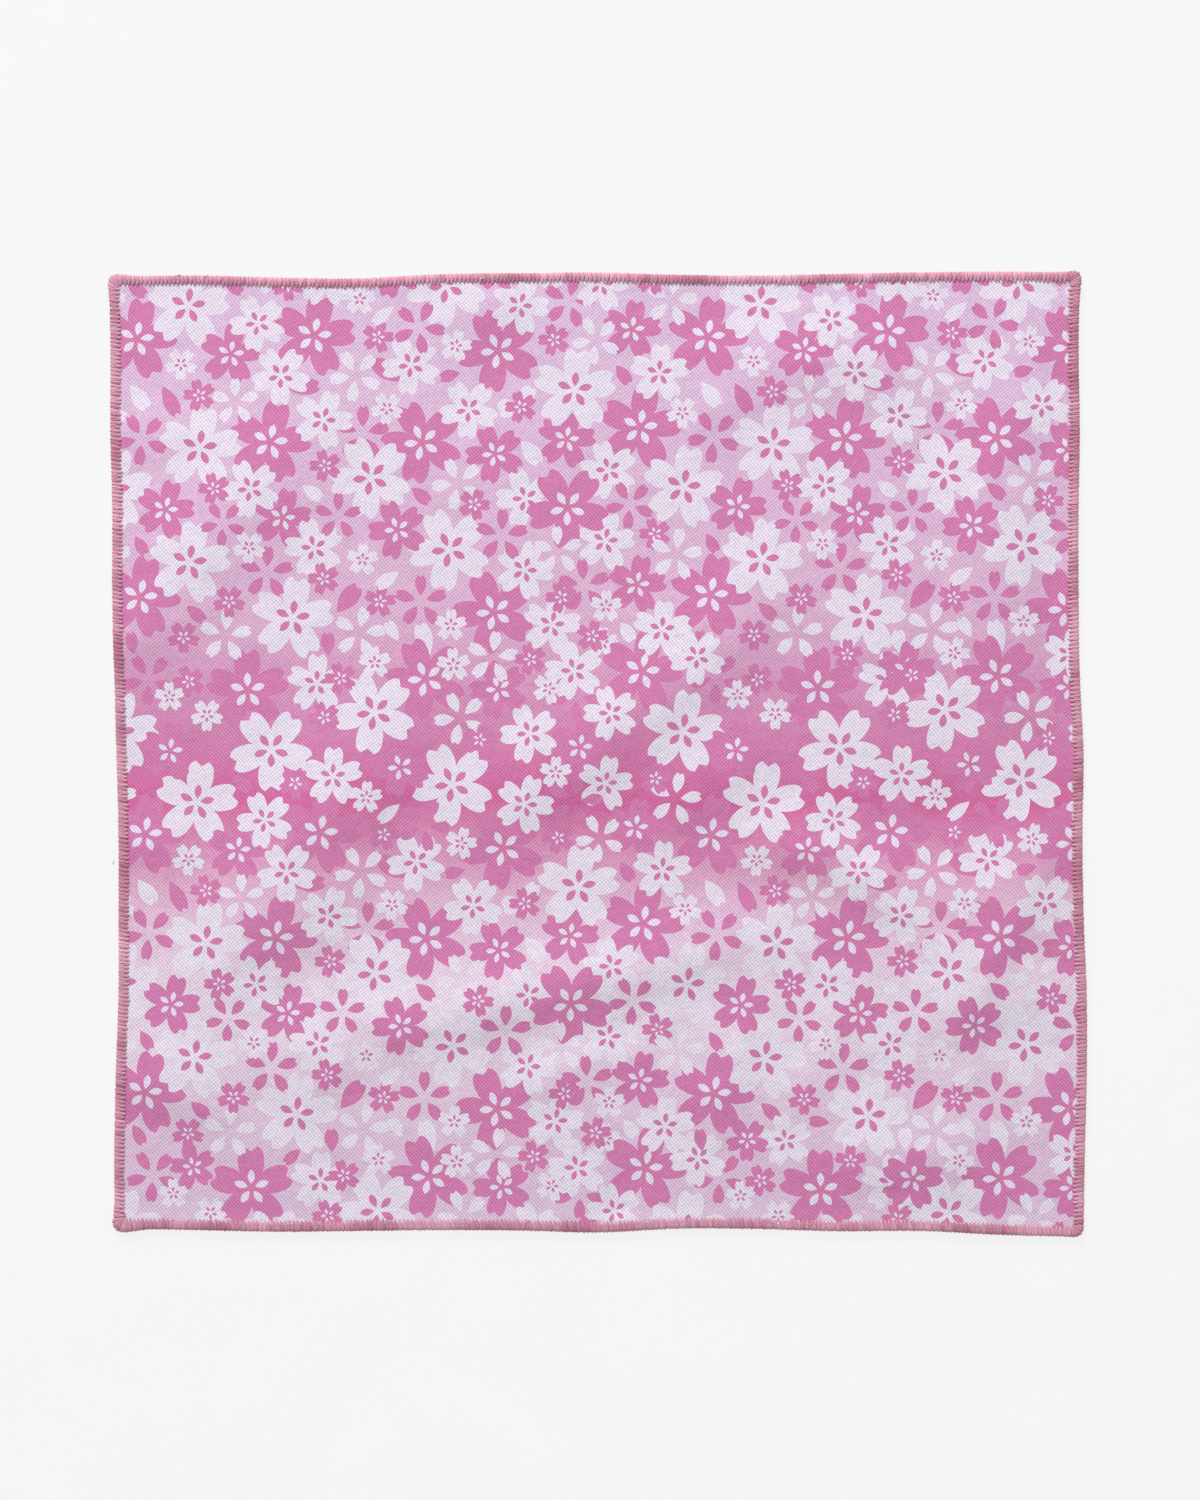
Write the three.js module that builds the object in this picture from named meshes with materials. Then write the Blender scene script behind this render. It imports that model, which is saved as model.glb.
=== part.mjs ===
// A square towel handkerchief, opened out and laid flat with its printed face up.
// Millimetres, +Z up, X across the cloth and Y up it. The surface it lies on is z = 0.
// One sheet is the cloth. Four narrow strips are the overlocked thread that wraps its edges.

import * as THREE from 'three';

// Overall sizes.
const CLOTH_WIDE = 252.0;
const CLOTH_TALL = 249.0;
const SHEET_THICK = 1.6;
const EDGE_THICK = 1.0;
const LEAST_THICK = 1.0;
const CLEARANCE = 0.32;

// The wrapped thread: how far it reaches over the cloth and how thick its lips are.
const WRAP_WIDE = 2.2;
const WRAP_LIP = 0.4;
const WRAP_WALL = 0.43;
const WRAP_CREST = 2.5;
const WRAP_HEEL = 0.7;
const WRAP_SHOULDER = 1.65;
const WRAP_TAPER = 0.7;

// How the sheet meets the thread: the flat part under the lips, then the slope back down.
const EDGE_SLOPE = 3.8;
const SLOPE_ROWS = 2;
const FIELD_ROWS = 34;

// A fold lower than this leaves the underside lying on the surface.
const SLACK = 0.1;
// A fold fades in and out over this share of its length.
const FOLD_FADE = 0.45;

// How far each side stands out from the middle, read every twelfth of the way along it.
// For top and bottom, at is X. For left and right, at is Y.
const OUTLINE = [
  { at: -125.0, top: 123.8, bottom: 123.5, left: 125.5, right: 126.1 },
  { at: -104.2, top: 124.0, bottom: 123.9, left: 125.6, right: 126.4 },
  { at: -83.3, top: 123.5, bottom: 124.3, left: 125.1, right: 126.9 },
  { at: -62.5, top: 123.2, bottom: 124.1, left: 124.5, right: 126.9 },
  { at: -41.7, top: 124.3, bottom: 123.9, left: 124.5, right: 126.1 },
  { at: -20.8, top: 124.5, bottom: 124.0, left: 124.5, right: 125.8 },
  { at: 0.0, top: 124.8, bottom: 124.5, left: 125.1, right: 126.1 },
  { at: 20.8, top: 124.2, bottom: 123.5, left: 125.6, right: 125.1 },
  { at: 41.7, top: 124.0, bottom: 123.6, left: 126.1, right: 124.8 },
  { at: 62.5, top: 124.4, bottom: 124.2, left: 126.1, right: 124.8 },
  { at: 83.3, top: 124.8, bottom: 124.1, left: 126.6, right: 125.1 },
  { at: 104.2, top: 125.0, bottom: 125.1, left: 126.6, right: 124.8 },
  { at: 125.0, top: 124.8, bottom: 125.6, left: 126.9, right: 125.1 },
];

// Soft ridges (rise above 0) and troughs (rise below 0). Each runs from its first end to its
// second, bowed sideways at the middle. upper and lower are the reaches of its two flanks.
const FOLDS = [
  { x0: -134.1, y0: 20.6, x1: -60.3, y1: 104.5, bow: -2.3, rise: 1.4, upper: 16.8, lower: 12.7 },
  { x0: -131, y0: 79.6, x1: -89.4, y1: 86, bow: -0.8, rise: 0.55, upper: 8.6, lower: 5.9 },
  { x0: 7.7, y0: 60.6, x1: 105.9, y1: 84.5, bow: 29.8, rise: 1.05, upper: 14.4, lower: 9.7 },
  { x0: -60.3, y0: -32.8, x1: 67, y1: 66.7, bow: -10.6, rise: 1.63, upper: 14.9, lower: 9.5 },
  { x0: 13.9, y0: -37, x1: 137.2, y1: -9.2, bow: 4, rise: -0.55, upper: 8.9, lower: 10 },
  { x0: 79.8, y0: -87.7, x1: 121.9, y1: -2.5, bow: -3.6, rise: 1.49, upper: 18, lower: 7.5 },
  { x0: 25.3, y0: -20.6, x1: 93.6, y1: -55.5, bow: 9.4, rise: 1.4, upper: 10.1, lower: 7 },
  { x0: -110.9, y0: -82.9, x1: 77.1, y1: -39.1, bow: -1.9, rise: 1.51, upper: 10.6, lower: 8.1 },
  { x0: -117.5, y0: -91.3, x1: -31.2, y1: 28.6, bow: 6.3, rise: 1.9, upper: 16.1, lower: 10.5 },
  { x0: -30.9, y0: -91.7, x1: 16.7, y1: -76.2, bow: 1.9, rise: 0.66, upper: 5.4, lower: 6.4 },
  { x0: 3.8, y0: -131.7, x1: 4.9, y1: -100.8, bow: -1.2, rise: -0.57, upper: 3.5, lower: 4.3 },
  { x0: 27.5, y0: -103.9, x1: 40.1, y1: -63.5, bow: -0.1, rise: 0.79, upper: 7.4, lower: 5.8 },
  { x0: 51.2, y0: -104.7, x1: 63.7, y1: -62.3, bow: 0.7, rise: 0.56, upper: 5.8, lower: 5.3 },
  { x0: 44.8, y0: -108.3, x1: 112.7, y1: -97.5, bow: -4.7, rise: 1.13, upper: 11.7, lower: 8.3 },
  { x0: 83.5, y0: -67.1, x1: 128.8, y1: -61.4, bow: -0.2, rise: 0.83, upper: 11.9, lower: 6.6 },
  { x0: -134.9, y0: -78.1, x1: -87.5, y1: -97.9, bow: 0.6, rise: 1.36, upper: 14.6, lower: 7.7 },
  { x0: -82.7, y0: -96.4, x1: -57.4, y1: -75.7, bow: 2, rise: 0.71, upper: 10.9, lower: 7.6 },
  { x0: -131.7, y0: -22.9, x1: -102, y1: -25.1, bow: -0.4, rise: 0.58, upper: 9.6, lower: 6 },
  { x0: 107, y0: -8.3, x1: 104, y1: 100.1, bow: 3.3, rise: 0.72, upper: 12.5, lower: 5.9 },
  { x0: -40.1, y0: 111, x1: -13.1, y1: 119.8, bow: 2.6, rise: 0.98, upper: 8, lower: 8.6 },
  { x0: 26.8, y0: -30.3, x1: 75.2, y1: -22.3, bow: 1.8, rise: 0.48, upper: 9.4, lower: 5.7 },
  { x0: -90, y0: -58.9, x1: -54.4, y1: -19.8, bow: 0.2, rise: 0.95, upper: 7.7, lower: 8.2 },
  { x0: -65.6, y0: -30.4, x1: -48.6, y1: 0.2, bow: -0.3, rise: 0.54, upper: 6.4, lower: 6.5 },
  { x0: 56.8, y0: -119.9, x1: 90.5, y1: -105, bow: 0.3, rise: -0.35, upper: 7.5, lower: 6.9 },
  { x0: 99.9, y0: -53.8, x1: 123.6, y1: -33.8, bow: 0.5, rise: 0.32, upper: 8.9, lower: 7.7 },
  { x0: 3.5, y0: -81.8, x1: 18.3, y1: -78.1, bow: 1.2, rise: 0.28, upper: 4.6, lower: 4.2 },
  { x0: 7.9, y0: -27.8, x1: 53.9, y1: 7.4, bow: 2.9, rise: 1.05, upper: 13.4, lower: 7.1 },
  { x0: -131.8, y0: 17.8, x1: -100.6, y1: 41.1, bow: 0.8, rise: 0.71, upper: 9.1, lower: 5 },
  { x0: 112.5, y0: -1.6, x1: 109.3, y1: 133.8, bow: 2.2, rise: 1.04, upper: 14.1, lower: 5.4 },
  { x0: -47.6, y0: 82.6, x1: -15.4, y1: 106.6, bow: 0.1, rise: -0.48, upper: 11.9, lower: 8.9 },
  { x0: -117, y0: -23.8, x1: -103.4, y1: -19.5, bow: -0.3, rise: 0.17, upper: 6.3, lower: 5 },
];

// The loose tail of thread at each end of the top and bottom strips: out past the corner,
// and aside from the line of the edge.
const TAILS = {
  top: { first: { out: 0.2, aside: 0.0 }, last: { out: 0.4, aside: 0.2 } },
  bottom: { first: { out: 0.5, aside: 0.6 }, last: { out: 0.0, aside: 0.0 } },
};

const COLOURS = {
  cloth: 0xd5b4d8,
  thread: 0xcd8fae,
};

function clamp(value, low, high) {
  return Math.min(Math.max(value, low), high);
}

function ease(value) {
  const t = clamp(value, 0, 1);
  return t * t * (3 - 2 * t);
}

// A smooth curve through one column of the outline table.
function sideAt(side, at) {
  const last = OUTLINE.length - 1;
  const pitch = (OUTLINE[last].at - OUTLINE[0].at) / last;
  const place = clamp((at - OUTLINE[0].at) / pitch, 0, last);
  const row = Math.min(Math.floor(place), last - 1);
  const t = place - row;
  const before = OUTLINE[Math.max(row - 1, 0)][side];
  const here = OUTLINE[row][side];
  const next = OUTLINE[row + 1][side];
  const after = OUTLINE[Math.min(row + 2, last)][side];
  const leave = (next - before) / 2;
  const arrive = (after - here) / 2;
  const cube = 2 * here - 2 * next + leave + arrive;
  const square = 3 * next - 3 * here - 2 * leave - arrive;
  return ((cube * t + square) * t + leave) * t + here;
}

// Plan position of a point given as shares of the way across and up the outline.
function planPoint(across, up) {
  const x = (across - 0.5) * CLOTH_WIDE;
  const y = (up - 0.5) * CLOTH_TALL;
  return {
    x: across * sideAt('right', y) - (1 - across) * sideAt('left', y),
    y: up * sideAt('top', x) - (1 - up) * sideAt('bottom', x),
  };
}

// Height that the folds add at a plan point.
function foldRise(x, y) {
  let total = 0;
  for (const fold of FOLDS) {
    const runX = fold.x1 - fold.x0;
    const runY = fold.y1 - fold.y0;
    const length = Math.hypot(runX, runY);
    const along = ((x - fold.x0) * runX + (y - fold.y0) * runY) / (length * length);
    const bow = fold.bow * 4 * along * (1 - along);
    const off = ((y - fold.y0) * runX - (x - fold.x0) * runY) / length - bow;
    const reach = off > 0 ? fold.upper : fold.lower;
    const fade = ease(along / FOLD_FADE) * ease((1 - along) / FOLD_FADE);
    total += fold.rise * fade * Math.exp(-((off / reach) ** 2));
  }
  return total;
}

// Plan position of a point given as millimetres in from the left side and from the bottom.
function planAt(inX, inY) {
  return planPoint(inX / CLOTH_WIDE, inY / CLOTH_TALL);
}

// How far the cloth is lifted off the surface. Under the thread it stays the same right across
// the thread's width, so that the two keep their clearance.
function liftAt(inX, inY) {
  const grip = WRAP_WIDE + CLEARANCE;
  const plan = planAt(clamp(inX, grip, CLOTH_WIDE - grip), clamp(inY, grip, CLOTH_TALL - grip));
  return Math.max(0, foldRise(plan.x, plan.y) - SLACK);
}

// Top and underside of the sheet, drawn in where the thread grips it.
function sheetHeights(inX, inY) {
  const plan = planAt(inX, inY);
  const raised = liftAt(inX, inY);
  const inset = Math.min(inX, CLOTH_WIDE - inX, inY, CLOTH_TALL - inY);
  const held = 1 - ease((inset - WRAP_WIDE - CLEARANCE) / EDGE_SLOPE);
  const openTop = Math.max(SHEET_THICK + foldRise(plan.x, plan.y), raised + LEAST_THICK);
  const heldUnder = raised + WRAP_LIP + CLEARANCE;
  const heldTop = heldUnder + EDGE_THICK;
  return {
    top: openTop + (heldTop - openTop) * held,
    under: raised + (heldUnder - raised) * held,
  };
}

// Stations across the sheet, in millimetres in from one side of it.
function stations(size) {
  const grip = WRAP_WIDE + CLEARANCE;
  const near = [WRAP_WALL + CLEARANCE, grip];
  for (let row = 1; row <= SLOPE_ROWS; row += 1) {
    near.push(grip + (EDGE_SLOPE * row) / SLOPE_ROWS);
  }
  const start = near[near.length - 1];
  const step = (size - 2 * start) / FIELD_ROWS;
  const field = [];
  for (let row = 1; row < FIELD_ROWS; row += 1) {
    field.push(start + row * step);
  }
  const far = near.map((inset) => size - inset).reverse();
  return [...near, ...field, ...far];
}

// Turns a triangle list to face out and makes the named body.
function body(name, points, faces, colour) {
  let volume = 0;
  for (const [a, b, c] of faces) {
    const cross = points[b].clone().cross(points[c]);
    volume += points[a].dot(cross);
  }
  const turned = volume < 0 ? faces.map(([a, b, c]) => [a, c, b]) : faces;
  const geometry = new THREE.BufferGeometry();
  geometry.setFromPoints(points);
  geometry.setIndex(turned.flat());
  geometry.computeVertexNormals();
  const material = new THREE.MeshStandardMaterial({ color: colour, roughness: 0.95 });
  const mesh = new THREE.Mesh(geometry, material);
  mesh.name = name;
  return mesh;
}

// The sheet: a top and an underside over one grid, joined round the rim.
function makeCloth() {
  const columns = stations(CLOTH_WIDE);
  const rows = stations(CLOTH_TALL);
  const wide = columns.length;
  const tall = rows.length;
  const layer = wide * tall;
  const points = new Array(2 * layer);
  rows.forEach((inY, j) => {
    columns.forEach((inX, i) => {
      const plan = planAt(inX, inY);
      const heights = sheetHeights(inX, inY);
      points[j * wide + i] = new THREE.Vector3(plan.x, plan.y, heights.top);
      points[layer + j * wide + i] = new THREE.Vector3(plan.x, plan.y, heights.under);
    });
  });
  const faces = [];
  for (let j = 0; j < tall - 1; j += 1) {
    for (let i = 0; i < wide - 1; i += 1) {
      const a = j * wide + i;
      const b = a + 1;
      const c = a + wide + 1;
      const d = a + wide;
      faces.push([a, b, c], [a, c, d]);
      faces.push([layer + a, layer + c, layer + b], [layer + a, layer + d, layer + c]);
    }
  }
  const rim = [];
  for (let i = 0; i < wide - 1; i += 1) {
    rim.push(i);
  }
  for (let j = 0; j < tall - 1; j += 1) {
    rim.push(j * wide + wide - 1);
  }
  for (let i = wide - 1; i > 0; i -= 1) {
    rim.push((tall - 1) * wide + i);
  }
  for (let j = tall - 1; j > 0; j -= 1) {
    rim.push(j * wide);
  }
  rim.forEach((a, k) => {
    const b = rim[(k + 1) % rim.length];
    faces.push([layer + a, layer + b, b], [layer + a, b, a]);
  });
  return body('cloth', points, faces, COLOURS.cloth);
}

// Section of the wrapped thread, a C round the edge of the sheet. inset runs in from the outline.
function wrapSection() {
  const mouthTop = WRAP_LIP + 2 * CLEARANCE + EDGE_THICK;
  return [
    { inset: WRAP_WIDE, z: 0 },
    { inset: 0.23 * WRAP_WIDE, z: 0 },
    { inset: 0, z: WRAP_HEEL },
    { inset: 0, z: WRAP_SHOULDER },
    { inset: 0.2 * WRAP_WIDE, z: 0.92 * WRAP_CREST },
    { inset: 0.55 * WRAP_WIDE, z: WRAP_CREST },
    { inset: WRAP_WIDE, z: mouthTop + 0.75 * WRAP_LIP },
    { inset: WRAP_WIDE, z: mouthTop },
    { inset: WRAP_WALL, z: mouthTop },
    { inset: WRAP_WALL, z: WRAP_LIP },
    { inset: WRAP_WIDE, z: WRAP_LIP },
  ];
}

// The section without the slot that the sheet sits in, for the closed ends of a strip.
const SLOT_CORNERS = [8, 9];
const SLOT_FACE = [7, 8, 9, 10];

// A place along one side of the outline, to a point in space.
function wrapPoint(side, along, inset, z, aside) {
  const depth = inset - aside;
  let inX = along;
  let inY = along;
  if (side === 'top' || side === 'bottom') {
    inY = side === 'top' ? CLOTH_TALL - depth : depth;
  } else {
    inX = side === 'right' ? CLOTH_WIDE - depth : depth;
  }
  const plan = planAt(inX, inY);
  return new THREE.Vector3(plan.x, plan.y, z + liftAt(inX, inY));
}

// Triangles over a flat ring of section points, all turned one way in the section plane.
function capFaces(section, ring, start, anticlockwise) {
  const flat = ring.map((corner) => new THREE.Vector2(section[corner].inset, section[corner].z));
  const triangles = THREE.ShapeUtils.triangulateShape(flat, []);
  return triangles.map((triangle) => {
    const [p, q, r] = triangle.map((corner) => flat[corner]);
    const area = (q.x - p.x) * (r.y - p.y) - (r.x - p.x) * (q.y - p.y);
    const [a, b, c] = triangle.map((corner) => start + ring[corner]);
    return area > 0 === anticlockwise ? [a, b, c] : [a, c, b];
  });
}

// One strip of wrapped thread. Closed strips end in a solid tail past the corner of the sheet.
function makeWrap(side, closed) {
  const section = wrapSection();
  const count = section.length;
  const size = side === 'top' || side === 'bottom' ? CLOTH_WIDE : CLOTH_TALL;
  const edges = WRAP_WALL + CLEARANCE;
  const places = stations(size).filter((along) => along > edges && along < size - edges);
  if (closed) {
    places.unshift(WRAP_WALL);
    places.push(size - WRAP_WALL);
  }
  const points = [];
  const faces = [];
  for (const along of places) {
    for (const corner of section) {
      points.push(wrapPoint(side, along, corner.inset, corner.z, 0));
    }
  }
  for (let k = 0; k < places.length - 1; k += 1) {
    for (let s = 0; s < count; s += 1) {
      const next = (s + 1) % count;
      const a = k * count + s;
      const b = k * count + next;
      const c = (k + 1) * count + next;
      const d = (k + 1) * count + s;
      faces.push([a, b, c], [a, c, d]);
    }
  }
  const whole = section.map((corner, index) => index);
  const lastStart = (places.length - 1) * count;
  if (!closed) {
    faces.push(...capFaces(section, whole, 0, true));
    faces.push(...capFaces(section, whole, lastStart, false));
    return body(`overlock_${side}`, points, faces, COLOURS.thread);
  }
  faces.push(...capFaces(section, SLOT_FACE, 0, false));
  faces.push(...capFaces(section, SLOT_FACE, lastStart, true));
  const ring = whole.filter((corner) => !SLOT_CORNERS.includes(corner));
  const tails = TAILS[side];
  const ends = [
    { start: 0, along: -tails.first.out, aside: tails.first.aside, first: true },
    { start: lastStart, along: size + tails.last.out, aside: tails.last.aside, first: false },
  ];
  for (const end of ends) {
    const tip = points.length;
    ring.forEach((corner, k) => {
      const inset = WRAP_WIDE / 2 + (section[corner].inset - WRAP_WIDE / 2) * WRAP_TAPER;
      const z = WRAP_CREST / 2 + (section[corner].z - WRAP_CREST / 2) * WRAP_TAPER;
      points.push(wrapPoint(side, end.along, inset, z, end.aside));
      const next = (k + 1) % ring.length;
      const a = end.start + corner;
      const b = end.start + ring[next];
      const c = tip + next;
      const d = tip + k;
      const walls = end.first ? [[a, c, b], [a, d, c]] : [[a, b, c], [a, c, d]];
      faces.push(...walls);
    });
    const tipSection = ring.map((corner) => section[corner]);
    faces.push(...capFaces(tipSection, [...tipSection.keys()], tip, end.first));
  }
  return body(`overlock_${side}`, points, faces, COLOURS.thread);
}

// Puts the origin under the middle of everything.
function centre(group) {
  const box = new THREE.Box3().setFromObject(group);
  const middle = box.getCenter(new THREE.Vector3());
  for (const mesh of group.children) {
    mesh.geometry.translate(-middle.x, -middle.y, -box.min.z);
  }
}

const handkerchief = new THREE.Group();
handkerchief.name = 'towel_handkerchief';
handkerchief.add(makeCloth());
handkerchief.add(makeWrap('top', true));
handkerchief.add(makeWrap('bottom', true));
handkerchief.add(makeWrap('left', false));
handkerchief.add(makeWrap('right', false));
centre(handkerchief);

export default handkerchief;
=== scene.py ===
"""A printed towel handkerchief, laid flat and seen from straight above.

Lengths are in millimetres until a mesh is made. X runs across the cloth and Y up it.
"""

import math

import bpy
import numpy as np
from mathutils.geometry import delaunay_2d_cdt
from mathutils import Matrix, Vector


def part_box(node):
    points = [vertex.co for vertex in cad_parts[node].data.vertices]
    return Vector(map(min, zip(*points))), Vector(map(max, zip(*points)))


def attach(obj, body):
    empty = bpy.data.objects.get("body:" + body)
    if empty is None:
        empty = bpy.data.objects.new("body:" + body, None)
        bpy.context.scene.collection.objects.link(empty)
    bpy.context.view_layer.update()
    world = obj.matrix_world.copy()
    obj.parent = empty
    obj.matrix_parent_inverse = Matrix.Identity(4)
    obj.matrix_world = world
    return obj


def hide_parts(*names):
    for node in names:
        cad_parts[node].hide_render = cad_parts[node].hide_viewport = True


MM = 0.001
rng = np.random.default_rng(7)

# The sheet and the thread round it, as in the CAD source.
CLOTH_WIDE = 252.0
CLOTH_TALL = 249.0
SHEET_THICK = 1.6
EDGE_THICK = 1.0
LEAST_THICK = 1.0
CLEARANCE = 0.32
WRAP_WIDE = 2.2
WRAP_LIP = 0.4
WRAP_WALL = 0.43
EDGE_SLOPE = 3.8
SLACK = 0.1
FOLD_FADE = 0.45
GRIP = WRAP_WIDE + CLEARANCE
SHEET_INSET = WRAP_WALL + CLEARANCE

# How far each side stands out from the middle. For top and bottom, at is X; else Y.
OUTLINE = [
    # at, top, bottom, left, right
    (-125.0, 123.8, 123.5, 125.5, 126.1),
    (-104.2, 124.0, 123.9, 125.6, 126.4),
    (-83.3, 123.5, 124.3, 125.1, 126.9),
    (-62.5, 123.2, 124.1, 124.5, 126.9),
    (-41.7, 124.3, 123.9, 124.5, 126.1),
    (-20.8, 124.5, 124.0, 124.5, 125.8),
    (0.0, 124.8, 124.5, 125.1, 126.1),
    (20.8, 124.2, 123.5, 125.6, 125.1),
    (41.7, 124.0, 123.6, 126.1, 124.8),
    (62.5, 124.4, 124.2, 126.1, 124.8),
    (83.3, 124.8, 124.1, 126.6, 125.1),
    (104.2, 125.0, 125.1, 126.6, 124.8),
    (125.0, 124.8, 125.6, 126.9, 125.1),
]
SIDE_COLUMN = {"top": 1, "bottom": 2, "left": 3, "right": 4}

# Soft ridges and troughs, from one end to the other, bowed sideways at the middle.
FOLDS = [
    # x0, y0, x1, y1, bow, rise, upper, lower
    (-134.1, 20.6, -60.3, 104.5, -2.3, 1.4, 16.8, 12.7),
    (-131, 79.6, -89.4, 86, -0.8, 0.55, 8.6, 5.9),
    (7.7, 60.6, 105.9, 84.5, 29.8, 1.05, 14.4, 9.7),
    (-60.3, -32.8, 67, 66.7, -10.6, 1.63, 14.9, 9.5),
    (13.9, -37, 137.2, -9.2, 4, -0.55, 8.9, 10),
    (79.8, -87.7, 121.9, -2.5, -3.6, 1.49, 18, 7.5),
    (25.3, -20.6, 93.6, -55.5, 9.4, 1.4, 10.1, 7),
    (-110.9, -82.9, 77.1, -39.1, -1.9, 1.51, 10.6, 8.1),
    (-117.5, -91.3, -31.2, 28.6, 6.3, 1.9, 16.1, 10.5),
    (-30.9, -91.7, 16.7, -76.2, 1.9, 0.66, 5.4, 6.4),
    (3.8, -131.7, 4.9, -100.8, -1.2, -0.57, 3.5, 4.3),
    (27.5, -103.9, 40.1, -63.5, -0.1, 0.79, 7.4, 5.8),
    (51.2, -104.7, 63.7, -62.3, 0.7, 0.56, 5.8, 5.3),
    (44.8, -108.3, 112.7, -97.5, -4.7, 1.13, 11.7, 8.3),
    (83.5, -67.1, 128.8, -61.4, -0.2, 0.83, 11.9, 6.6),
    (-134.9, -78.1, -87.5, -97.9, 0.6, 1.36, 14.6, 7.7),
    (-82.7, -96.4, -57.4, -75.7, 2, 0.71, 10.9, 7.6),
    (-131.7, -22.9, -102, -25.1, -0.4, 0.58, 9.6, 6),
    (107, -8.3, 104, 100.1, 3.3, 0.72, 12.5, 5.9),
    (-40.1, 111, -13.1, 119.8, 2.6, 0.98, 8, 8.6),
    (26.8, -30.3, 75.2, -22.3, 1.8, 0.48, 9.4, 5.7),
    (-90, -58.9, -54.4, -19.8, 0.2, 0.95, 7.7, 8.2),
    (-65.6, -30.4, -48.6, 0.2, -0.3, 0.54, 6.4, 6.5),
    (56.8, -119.9, 90.5, -105, 0.3, -0.35, 7.5, 6.9),
    (99.9, -53.8, 123.6, -33.8, 0.5, 0.32, 8.9, 7.7),
    (3.5, -81.8, 18.3, -78.1, 1.2, 0.28, 4.6, 4.2),
    (7.9, -27.8, 53.9, 7.4, 2.9, 1.05, 13.4, 7.1),
    (-131.8, 17.8, -100.6, 41.1, 0.8, 0.71, 9.1, 5),
    (112.5, -1.6, 109.3, 133.8, 2.2, 1.04, 14.1, 5.4),
    (-47.6, 82.6, -15.4, 106.6, 0.1, -0.48, 11.9, 8.9),
    (-117, -23.8, -103.4, -19.5, -0.3, 0.17, 6.3, 5),
]

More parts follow.
